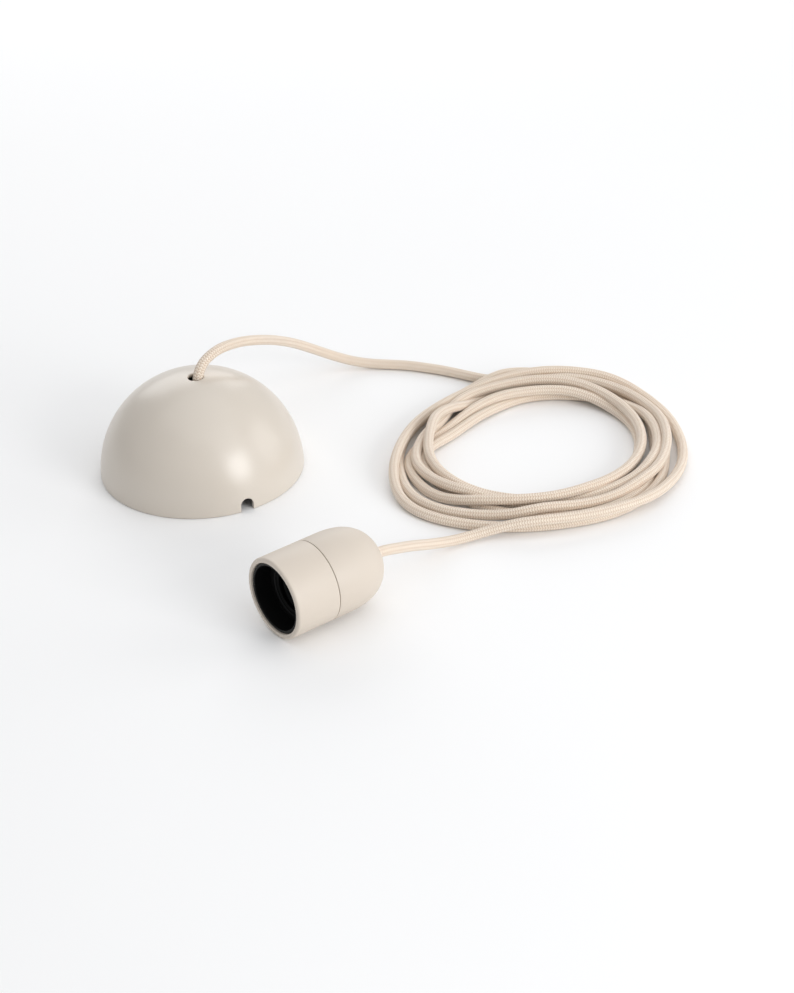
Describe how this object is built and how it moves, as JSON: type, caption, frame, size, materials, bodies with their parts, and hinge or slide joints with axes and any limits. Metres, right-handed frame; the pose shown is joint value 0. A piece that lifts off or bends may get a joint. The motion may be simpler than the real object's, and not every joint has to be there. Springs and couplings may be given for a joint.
{
  "type": "pendant cord set",
  "caption": "Pendant cord set: half-ball ceiling canopy with a side notch, a long beige textile cord in a loose coil, and a rounded bulb holder with a black screw socket.",
  "frame": {"origin": "centre of the canopy's base, on the ceiling plane, where the strap's flat back bears", "axes": "+Z from the ceiling plane up through the canopy's pole (down into the room when it hangs); +X along the bulb holder's axis from its mouth to its cord end, as the set lies on a table"},
  "size_m": [0.3212, 0.2719, 0.0741],
  "materials": {
    "shell": "fine satin powder coat, warm greige",
    "steel": "zinc plated, satin",
    "nylon": "moulded nylon, natural white",
    "block": "moulded terminal block, white",
    "brass": "bare brass, slightly dull",
    "insert": "black moulded plastic, low gloss",
    "textile": "woven textile sleeve, fine fishbone braid",
    "wire_brown": "brown wire insulation",
    "wire_blue": "blue wire insulation"
  },
  "bodies": {
    "root": {"canopy_dome": "shell", "holder_sleeve": "shell", "holder_cap": "shell", "mounting_strap": "steel", "grip_bracket": "steel", "bracket_screw_1": "steel", "bracket_screw_2": "steel", "block_screw": "steel", "terminal_screw_brown_1": "steel", "terminal_screw_brown_2": "steel", "terminal_screw_blue_1": "steel", "terminal_screw_blue_2": "steel", "contact_screw_centre": "steel", "contact_screw_side": "steel", "lock_screw": "steel", "cord_grip": "nylon", "grip_nut": "nylon", "grip_screw": "nylon", "cord_lock": "nylon", "terminal_block": "block", "terminal_tube_brown": "brass", "terminal_tube_blue": "brass", "centre_contact": "brass", "side_contact": "brass", "holder_liner": "insert", "thread_ring": "insert", "contact_block": "insert", "canopy_cord_end": "textile", "holder_cord_end": "textile", "cord_to_canopy": "textile", "cord_coil": "textile", "cord_to_holder": "textile", "canopy_wire_brown": "wire_brown", "holder_wire_brown": "wire_brown", "canopy_wire_blue": "wire_blue", "holder_wire_blue": "wire_blue"}
  },
  "joints": []
}
